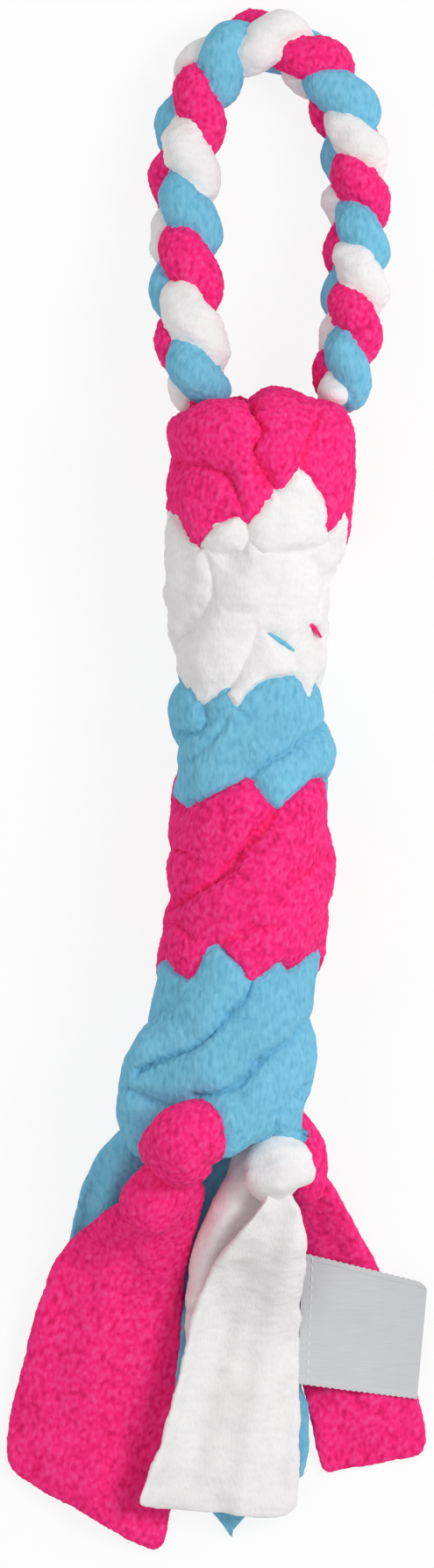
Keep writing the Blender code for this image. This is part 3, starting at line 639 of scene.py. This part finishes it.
# How each fleece's fuzz shows: waves to the metre, share beside the pile, stretch along x, y and z, and bump
FUZZ = {
    "pink": (1000, 3.4, (1, 0.8, 1), 0.60),
    "white": (1300, 4.0, (1, 0.5, 1), 0.40),
    "blue": (1000, 5.0, (1, 0.4, 1), 0.55),
}
LUMPS, CLOUDS, WEFT = 55, 90, 900  # broad marks on fleece and on satin, and satin's threads, to the metre
SHADE_PILE, HIGHLIGHT_PILE = -2.3, 2.5  # the pile that takes the full painted pit shade and the full painted tip highlight
FUZZ_DEPTH, WEFT_DEPTH = 0.0006, 0.0002


def fleece_material(name, colour, pit, tip, fuzz_scale, fuzz_share, stretch, bump):
    """Brushed fleece: painted shade in the pits between the tufts and a painted highlight on the tips, set by
    the pile's height and by random fuzz, fine fuzz and a soft sheen.
    """
    material, tree, shader, places = started(name)
    pile = node_in(tree, "ShaderNodeAttribute", attribute_name="pile").outputs["Fac"]
    fuzz = noise_in(tree, places, fuzz_scale, 3.0, 0.6, stretch)
    broad = noise_in(tree, places, LUMPS, 2.0, 0.5)
    height = node_in(tree, "ShaderNodeMath", operation="MULTIPLY_ADD")
    tree.links.new(fuzz, height.inputs[0])
    height.inputs[1].default_value = fuzz_share
    tree.links.new(pile, height.inputs[2])
    share = node_in(
        tree, "ShaderNodeMapRange", From_Min=fuzz_share / 2 + SHADE_PILE, From_Max=fuzz_share / 2 + HIGHLIGHT_PILE
    )
    tree.links.new(height.outputs[0], share.inputs["Value"])
    # Painted shade where the pile is sunk and painted highlight where it stands up, mixed with random tone
    # from the fuzz
    tint = ramp_in(tree, share.outputs["Result"], (0.10, pit), (0.45, colour), (0.92, tip))
    wear = ramp_in(tree, broad, (0.30, (0.90, 0.90, 0.90)), (0.62, (1.0, 1.0, 1.0)))
    tree.links.new(washed(tree, tint, wear, 0.5), shader.inputs["Base Color"])
    roughen(tree, shader, fuzz, 0.86, 1.0, bump, FUZZ_DEPTH)
    shader.inputs["Specular IOR Level"].default_value = 0.15
    shader.inputs["Sheen Weight"].default_value = 0.12
    shader.inputs["Sheen Roughness"].default_value = 0.45
    shader.inputs["Sheen Tint"].default_value = (*tip, 1)
    return material


def satin_material(name, colour):
    """Satin ribbon: fine weft lines on the label's own width, a low gloss and faint mottling."""
    material, tree, shader, places = started(name)
    weft = noise_in(tree, places, WEFT, 2.0, 0.5, (0.15, 3.2, 1))
    cloud = noise_in(tree, places, CLOUDS, 2.0, 0.5)
    dark = [level * 0.96 for level in colour]
    pale = [min(1.0, level * 1.03) for level in colour]
    tint = ramp_in(tree, weft, (0.30, dark), (0.55, colour), (0.80, pale))
    wash = ramp_in(tree, cloud, (0.35, (0.94, 0.94, 0.94)), (0.65, (1.0, 1.0, 1.0)))
    tree.links.new(washed(tree, tint, wash, 0.6), shader.inputs["Base Color"])
    roughen(tree, shader, weft, 0.46, 0.58, 0.25, WEFT_DEPTH)
    shader.inputs["Sheen Weight"].default_value = 0.10
    return material


def fleece(context, colour):
    """The fleece material of this colour, made when it is first asked for."""
    name = f"brushed_{colour}_fleece"
    found = bpy.data.materials.get(name)
    if found:
        return found
    look = context.scene.tug_toy_fleece
    # The fleece's colour, its painted shade for the pits and its painted highlight for the tips
    tints = (getattr(look, colour + part) for part in ("", "_pit", "_tip"))
    return fleece_material(name, *tints, *FUZZ[colour])


def dress(context, piece, colour):
    piece.data.materials.append(fleece(context, colour))


# Sizes and colours that a user may change


def colour_of(name, description, red, green, blue):
    """A colour with its default picked as 0 to 255 screen values."""
    return FloatVectorProperty(
        name=name, description=description, subtype="COLOR", min=0, max=1, default=linear(red, green, blue)
    )


def length_of(name, description, lowest, highest, default):
    return FloatProperty(
        name=name, description=description, unit="LENGTH", min=lowest, max=highest, default=default
    )


class TugToyFleece(bpy.types.PropertyGroup):
    """Colours of the three fleeces, with the painted shade of their pits and the painted highlight of their
    tips, and how finely they are modelled
    """

    # Each Pits colour is painted shade in the hollows between the tufts, and each Tips colour is a painted
    # highlight on the tufts
    pink: colour_of("Pink", "Pink fleece", 254, 43, 128)
    pink_pit: colour_of("Pink Pits", "Pink between the tufts", 222, 28, 102)
    pink_tip: colour_of("Pink Tips", "Pink on the tufts", 255, 76, 150)
    white: colour_of("White", "White fleece", 240, 238, 238)
    white_pit: colour_of("White Pits", "White between the fibres", 230, 228, 229)
    white_tip: colour_of("White Tips", "White on the fibres", 246, 244, 244)
    blue: colour_of("Blue", "Blue fleece", 118, 191, 221)
    blue_pit: colour_of("Blue Pits", "Blue between the fibres", 98, 172, 205)
    blue_tip: colour_of("Blue Tips", "Blue on the fibres", 136, 205, 232)
    swell: length_of("Swell", "How far the turns press past their solids", 0, 0.002, 0.0004)
    grain: length_of("Grain", "Size of the finest modelled detail", 0.0004, 0.003, 0.0006)


class TugToyLabel(bpy.types.PropertyGroup):
    """The satin tab sewn to the white tail"""

    satin: colour_of("Satin", "Colour of the ribbon", 204, 206, 208)
    thread: colour_of("Thread", "Colour of the stitches", 226, 226, 228)
    stitches: IntProperty(
        name="Stitches", description="Stitches along the sewn end", min=4, max=40, default=14
    )


class TugToyStudio(bpy.types.PropertyGroup):
    """Floor, lamps and camera"""

    floor: FloatVectorProperty(
        name="Floor", description="Colour of the floor", subtype="COLOR", min=0, max=1, default=(0.92,) * 3
    )
    world: FloatProperty(
        name="World", description="Strength of the light from all round", min=0, max=3, default=0.60
    )
    key: FloatProperty(
        name="Lamps", description="Power of the soft lamps", unit="POWER", min=0, max=200, default=7.6
    )
    distance: length_of("Camera Distance", "How far above the toy the camera stands", 0.5, 10, 3.0)
    view_height: length_of("View Height", "Length that the picture's long side takes in", 0.1, 2, 0.44675)


# One operator for each group of pieces


def bands_of(context, skin, families, creases_of, underlap, whole=False):
    """Parts one skin into a fleece piece for each family of solids, each tucked in beneath its neighbours.

    A piece that is to be whole grows together with its own solids, which carry it on where others cover it.
    """
    points, normals = points_of(skin), normals_of(skin)
    solids = [node for _, _, nodes in families for node in nodes]
    away = turn_distances(points, solids, REACH)
    crease, insides = creases_of(points, normals, away, solids)
    made = []
    for (name, colour, nodes), inside in zip(families, insides):
        sunk = crease + TUCK * np.clip(-inside, 0, None)
        piece = bpy.data.objects.new(name + "_fleece", skin.data.copy())
        context.scene.collection.objects.link(piece)
        move_points(piece, points - sunk[:, None] * normals)
        keep_points(piece, inside > -underlap)
        applied(piece, "SOLIDIFY", thickness=SHELL, offset=-1)
        if whole:
            within = copy_of(name + "_within", nodes)
            divided(within, 2)
            alone(piece, within)
            bpy.ops.object.join()
            merged(piece, grain_of(context.scene.tug_toy_fleece))
            smoothed(piece, STRAND_ROUNDS)
        keep_points(piece, island_sizes(piece) > SPECK)
        raise_nap(piece, colour)
        dress(context, piece, colour)
        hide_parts(*nodes)
        made.append(piece)
    return made


def body_creases(points, normals, away, solids):
    """How deep the body's creases are at each point, and how far inside each band it lies."""
    nearest, second = np.partition(away, 1, axis=0)[:2]
    top = np.maximum(
        blend_in(normals[:, 2], TOP_SLOPE, TOP_BLEND), blend_in(nearest, HEEL_FROM, HEEL_BLEND)
    )
    fray = FRAY * ripple(points, FRAY_SIZE)
    borders = [past(points, line) + fray for line in BORDERS]
    white = blend_in(np.minimum(borders[0], -borders[1]), 0, SOFT)
    wider, sharp = 1 + WHITE_WIDER * white, 1 - WHITE_BLUNT * white
    drawn = [
        dent(abs(line_distance(points, line) + fray), depth / 1000, half / 1000 * wider, sharp)
        for depth, half, line in CREASES
    ]
    drawn += [dent(abs(border), BORDER_DEPTH, BORDER_HALF) for border in borders]
    below = dent((second - nearest) / 2, CREASE_DEPTH, CREASE_HALF)
    crease = top * np.max(drawn, axis=0) + (1 - top) * below
    insides = []
    for row, name in enumerate(BANDS):
        mine = np.array([solid in band_nodes(name) for solid in solids])
        drawn_inside = np.full(len(points), INSIDE)
        if row > 0:
            drawn_inside = np.minimum(drawn_inside, borders[row - 1])
        if row < len(borders):
            drawn_inside = np.minimum(drawn_inside, -borders[row])
        own, others = away[mine].min(0), away[~mine].min(0)
        side_inside = np.where(own < NEAR, (others - own) / 2 + fray, -INSIDE)
        insides.append(top * drawn_inside.clip(-INSIDE) + (1 - top) * side_inside)
    return crease, insides


def rope_creases(points, normals, away, solids):
    """The same for the hand loop, where the strands alone give the creases."""
    nearest, second = np.partition(away, 1, axis=0)[:2]
    fray = FRAY * ripple(points, FRAY_SIZE)
    insides = [(np.delete(away, row, 0).min(0) - away[row]) / 2 + fray for row in range(len(solids))]
    return dent((second - nearest) / 2, ROPE_DEPTH, ROPE_HALF), insides


def band_nodes(name):
    return cad_nodes(name) + (["blue_knuckle"] if name == "blue_foot" else [])


def tuck_inside(piece, skin, depth):
    """Moves what lies outside the skin, or close beneath it, to this depth below it."""
    tree = tree_of(skin)
    points = points_of(piece)
    for row, point in enumerate(points.tolist()):
        place, normal, _, _ = tree.find_nearest(point)
        if (Vector(point) - place).dot(normal) > -depth:
            points[row] = place - depth * normal
    move_points(piece, points)


class TUGTOY_OT_knotted_body(bpy.types.Operator):
    """Makes the bands of knotted turns and the core strips that run through them"""

    bl_idname = "tugtoy.knotted_body"
    bl_label = "Knotted Body"

    def execute(self, context):
        look = context.scene.tug_toy_fleece
        families = [(name, colour, band_nodes(name)) for name, colour in BANDS.items()]
        turns = [turn for _, _, nodes in families for turn in nodes]
        skin = skin_of(
            "body_skin", turns, grain_of(look), look.swell + BODY_RISE, BRIDGE, BODY_ROUNDS, HOLLOWS
        )
        for piece in bands_of(context, skin, families, body_creases, UNDERLAP):
            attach(piece, BODY)
        for colour in CORES:
            for side in ("left", "right"):
                node = f"{colour}_core_{side}"
                piece = copy_of(node + "_fleece", [node])
                plump(piece, grain_of(look) * CORE_GRAIN, CORE_SWELL)
                tuck_inside(piece, skin, SHELL + CORE_COVER)
                raise_nap(piece, colour, CORE_NAP)
                dress(context, piece, colour)
                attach(piece, BODY)
                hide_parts(node)
        bpy.data.objects.remove(skin)
        return {"FINISHED"}


class TUGTOY_OT_knuckles(bpy.types.Operator):
    """Makes the knuckles that the pink and white tails leave, and the slivers between white turns"""

    bl_idname = "tugtoy.knuckles"
    bl_label = "Knuckles and Slivers"

    def execute(self, context):
        look = context.scene.tug_toy_fleece
        for name, (colour, folds) in KNUCKLES.items():
            piece = copy_of(name + "_fleece", [name])
            divided(piece, 2)
            for place, sizes in folds:
                with_ball(piece, place, sizes)
            merged(piece, grain_of(look))
            smoothed(piece, KNUCKLE_ROUNDS)
            swollen(piece, look.swell)
            raise_nap(piece, colour)
            dress(context, piece, colour)
            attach(piece, BODY)
            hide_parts(name)
        tree = tree_of(bpy.data.objects["white_band_fleece"])
        for colour, *ends in SLIVERS:
            start, stop = (dropped(tree, end) + Vector((0, 0, SLIVER_RISE)) for end in from_picture(ends))
            turn = (stop - start).to_track_quat("X", "Z").to_euler()
            bpy.ops.mesh.primitive_uv_sphere_add(radius=1, location=(start + stop) / 2, rotation=turn)
            piece = context.object
            piece.name = colour + "_sliver"
            piece.scale = ((stop - start).length / 2, SLIVER_RADIUS, SLIVER_RADIUS)
            alone(piece)
            bpy.ops.object.transform_apply(location=True, rotation=True, scale=True)
            divided(piece, 1)
            raise_nap(piece, colour, SLIVER_NAP)
            dress(context, piece, colour)
            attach(piece, BODY)
        return {"FINISHED"}


class TUGTOY_OT_hand_loop(bpy.types.Operator):
    """Makes the three plaited strands of the hand loop"""

    bl_idname = "tugtoy.hand_loop"
    bl_label = "Hand Loop"

    def execute(self, context):
        look = context.scene.tug_toy_fleece
        families = [("loop_strand_" + colour, colour, ["loop_strand_" + colour]) for colour in CORES]
        strands = [node for _, _, nodes in families for node in nodes]
        skin = skin_of("rope_skin", strands, grain_of(look), ROPE_RISE, ROPE_BRIDGE, ROPE_ROUNDS)
        for piece in bands_of(context, skin, families, rope_creases, ROPE_UNDERLAP, whole=True):
            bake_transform(piece)
        bpy.data.objects.remove(skin)
        return {"FINISHED"}


class TUGTOY_OT_tails(bpy.types.Operator):
    """Makes the loose ends of the strips that lie below the knots"""

    bl_idname = "tugtoy.tails"
    bl_label = "Tails"

    def execute(self, context):
        look = context.scene.tug_toy_fleece
        for node, (colour, body, cut, knot) in TAILS.items():
            piece = copy_of(node + "_fleece", [node])
            if node in LOBES:
                with_ball(piece, *LOBES[node])
            plump(piece, grain_of(look), TAIL_SWELL)
            points = lay(points_of(piece), FOLDS[node])
            for trim in TRIMS.get(node, ()):
                trimmed(points, **trim)
            move_points(piece, neck_up(points, np.array(knot)))
            raise_nap(piece, colour, TAIL_NAP)
            dress(context, piece, colour)
            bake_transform(piece)
            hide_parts(node)
        return {"FINISHED"}


def lay(points, folds):
    """Raises and lowers a strip along its drawn folds."""
    lifted = points.copy()
    for height, half, line in folds:
        lifted[:, 2] += height / 1000 * np.exp(-((line_distance(points, line) / (half / 1000)) ** 2))
    lifted[:, 2] = np.maximum(lifted[:, 2], THINNEST * points[:, 2])
    return lifted


def trimmed(points, stretch=0, fixed=0, shift=0, along=None, across=None):
    """Stretches the points away from x = fixed, or shifts them, where the ranges in y and x say so."""
    share = blend_in(points[:, 1], *along) if along else 1
    if across:
        share = share * blend_in(points[:, 0], *across)
    points[:, 0] += share * (stretch * (points[:, 0] - fixed) + shift)


def neck_up(points, knot):
    """Draws the top end of a tail up to the place where it comes out of the knot."""
    top = points[:, 1].max()
    end = points[points[:, 1] > top - NECK_END].mean(0)
    share = blend_in(points[:, 1], top - NECK, NECK)[:, None] ** 2
    return points + share * (knot - end)


def label_sides():
    """The label's sewn top corner, and its sides away from the seam and along it, each with its length."""
    corner, across, along = (np.array(place) / 1000 for place in LABEL_FRAME)
    return corner, across, along, np.linalg.norm(across), np.linalg.norm(along)


def shaped_label(points):
    """Lays the tab between its four sides, with woven edges, a rounded corner and a slight curl."""
    corner, across, along, width, length = label_sides()
    sides = np.column_stack([across / width, along / length])
    out, down = ((points[:, :2] - corner) @ np.linalg.inv(sides).T).T
    here = length - LABEL_TAPER * out / width
    middle = np.array([width - LABEL_ROUND, LABEL_ROUND])
    from_middle = np.stack([out, down], 1) - middle
    reach = np.hypot(*from_middle.T)
    over = (from_middle[:, 0] > 0) & (from_middle[:, 1] < 0) & (reach > LABEL_ROUND)
    pulled = middle + from_middle * (LABEL_ROUND / np.maximum(reach, TINY))[:, None]
    out, down = np.where(over, pulled[:, 0], out), np.where(over, pulled[:, 1], down)
    hem = np.minimum(down, here - down).clip(0)
    wave = np.sin(out / EDGE_SIZE) * np.exp(-hem / EDGE_REACH)
    down = down + EDGE_DEPTH * wave * np.sign(down - here / 2)
    rise = LABEL_RISE + HEM_RISE * (hem < HEM_WIDTH)
    rise += CURL_RISE * (out / width) ** 2 * np.cos(CURL_TURN * down / here)
    rise -= SAG * np.sin(SAG_TURN * out / width)
    out = out - SEAM_UNDER * (1 - out / width) ** 3
    flat = corner + np.column_stack([out, down]) @ sides.T
    return np.column_stack([flat, points[:, 2] + rise])


class TUGTOY_OT_label(bpy.types.Operator):
    """Makes the satin tab, with its woven edges and the stitches that hold it"""

    bl_idname = "tugtoy.label"
    bl_label = "Label"

    def execute(self, context):
        tab = context.scene.tug_toy_label
        piece = copy_of("label_ribbon", ["label"])
        levels = max(2, round(math.log(LABEL_FACES / len(piece.data.polygons), 4)))
        applied(piece, "SUBSURF", levels=levels, render_levels=levels, subdivision_type="SIMPLE")
        move_points(piece, shaped_label(points_of(piece)))
        alone(piece)
        bpy.ops.object.shade_smooth_by_angle(angle=LABEL_BEND)
        piece.data.materials.append(satin_material("satin_ribbon", tab.satin))
        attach(piece, "label")
        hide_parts("label")
        tree = tree_of(piece)
        corner, across, along, width, length = label_sides()
        turn = math.atan2(along[1], along[0])
        stitches = []
        for number in range(tab.stitches):
            spot = corner + across / width * STITCH_INSET + along * (number + 0.5) / tab.stitches
            place = dropped(tree, spot)
            if place is None:
                continue
            bpy.ops.mesh.primitive_uv_sphere_add(
                segments=12, ring_count=8, radius=1, location=place, rotation=(0, 0, turn)
            )
            stitch = context.object
            stitch.scale = (STITCH_SHARE * length / tab.stitches, STITCH_WIDTH, STITCH_HEIGHT)
            stitches.append(stitch)
        alone(*stitches)
        bpy.ops.object.join()
        bpy.ops.object.transform_apply(location=True, rotation=True, scale=True)
        bpy.ops.object.shade_smooth()
        thread = stitches[0]
        thread.name = "label_stitches"
        thread.data.materials.append(satin_material("stitching_thread", tab.thread))
        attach(thread, "label")
        return {"FINISHED"}


class TUGTOY_OT_studio(bpy.types.Operator):
    """Makes the floor, the lamps, the world and the camera that looks straight down"""

    bl_idname = "tugtoy.studio"
    bl_label = "Studio"

    def execute(self, context):
        scene = context.scene
        studio = scene.tug_toy_studio
        bpy.ops.object.select_all(action="DESELECT")
        bpy.ops.mesh.primitive_plane_add(size=FLOOR_SIZE, location=(0, 0, 0))
        floor = context.object
        floor.name = "studio_floor"
        floor.data.materials.append(floor_material(studio.floor))
        world = bpy.data.worlds.new("studio_light")
        world.use_nodes = True
        scene.world = world
        tree = world.node_tree
        sky = tree.nodes["Background"]
        sky.inputs["Color"].default_value = (1, 1, 1, 1)
        paths = tree.nodes.new("ShaderNodeLightPath")
        strength = node_in(tree, "ShaderNodeMapRange", To_Min=studio.world, To_Max=1.0)
        tree.links.new(paths.outputs["Is Camera Ray"], strength.inputs["Value"])
        tree.links.new(strength.outputs["Result"], sky.inputs["Strength"])
        for place, size, share in LAMPS:
            bpy.ops.object.light_add(type="AREA", location=place)
            lamp = context.object
            lamp.name = "soft_lamp"
            lamp.data.size = size
            lamp.data.energy = studio.key * share
            lamp.visible_camera = False
            lamp.rotation_euler = (MIDDLE - Vector(place)).to_track_quat("-Z", "Y").to_euler()
        bpy.ops.object.camera_add(location=MIDDLE + Vector((0, 0, studio.distance)), rotation=(0, 0, 0))
        camera = context.object
        camera.data.sensor_width = SENSOR
        camera.data.lens = SENSOR * studio.distance / studio.view_height
        camera.data.clip_end = CLIP_END
        scene.camera = camera
        scene.view_settings.view_transform = "Standard"
        return {"FINISHED"}


def floor_material(colour):
    """Pale floor that the camera sees near white, with the toy's shadow on it."""
    material = bpy.data.materials.new("pale_floor")
    material.use_nodes = True
    tree = material.node_tree
    tree.nodes.remove(tree.nodes["Principled BSDF"])
    matt = node_in(tree, "ShaderNodeBsdfDiffuse", Color=(*colour, 1))
    glow = node_in(tree, "ShaderNodeEmission", Color=(1, 1, 1, 1), Strength=1.0)
    paths = tree.nodes.new("ShaderNodeLightPath")
    share = node_in(tree, "ShaderNodeMath", operation="MULTIPLY")
    share.inputs[1].default_value = FLOOR_WHITE
    tree.links.new(paths.outputs["Is Camera Ray"], share.inputs[0])
    mix = tree.nodes.new("ShaderNodeMixShader")
    tree.links.new(share.outputs[0], mix.inputs["Fac"])
    tree.links.new(matt.outputs[0], mix.inputs[1])
    tree.links.new(glow.outputs[0], mix.inputs[2])
    tree.links.new(mix.outputs[0], tree.nodes["Material Output"].inputs["Surface"])
    return material


class TUGTOY_PT_panel(bpy.types.Panel):
    """Sizes, colours and the steps that build the toy"""

    bl_idname = "TUGTOY_PT_panel"
    bl_label = "Tug Toy"
    bl_space_type = "VIEW_3D"
    bl_region_type = "UI"
    bl_category = "Tug Toy"

    def draw(self, context):
        for group in GROUPS:
            settings = getattr(context.scene, group)
            box = self.layout.box()
            for name in settings.__annotations__:
                box.prop(settings, name)
        for operator in OPERATORS:
            self.layout.operator(operator.bl_idname)


GROUPS = {"tug_toy_fleece": TugToyFleece, "tug_toy_label": TugToyLabel, "tug_toy_studio": TugToyStudio}
OPERATORS = (
    TUGTOY_OT_knotted_body,
    TUGTOY_OT_knuckles,
    TUGTOY_OT_hand_loop,
    TUGTOY_OT_tails,
    TUGTOY_OT_label,
    TUGTOY_OT_studio,
)


def register():
    for made in (*GROUPS.values(), *OPERATORS, TUGTOY_PT_panel):
        bpy.utils.register_class(made)
    for name, group in GROUPS.items():
        setattr(bpy.types.Scene, name, PointerProperty(type=group))


def unregister():
    for name in GROUPS:
        delattr(bpy.types.Scene, name)
    for made in reversed((*GROUPS.values(), *OPERATORS, TUGTOY_PT_panel)):
        bpy.utils.unregister_class(made)


def main():
    register()
    bpy.ops.object.select_all(action="DESELECT")
    for leftover in ("Cube", "Light", "Camera"):
        if leftover in bpy.data.objects:
            bpy.data.objects.remove(bpy.data.objects[leftover])
    bpy.ops.tugtoy.knotted_body()
    bpy.ops.tugtoy.knuckles()
    bpy.ops.tugtoy.hand_loop()
    bpy.ops.tugtoy.tails()
    bpy.ops.tugtoy.label()
    bpy.ops.tugtoy.studio()


if __name__ == "__main__":
    main()
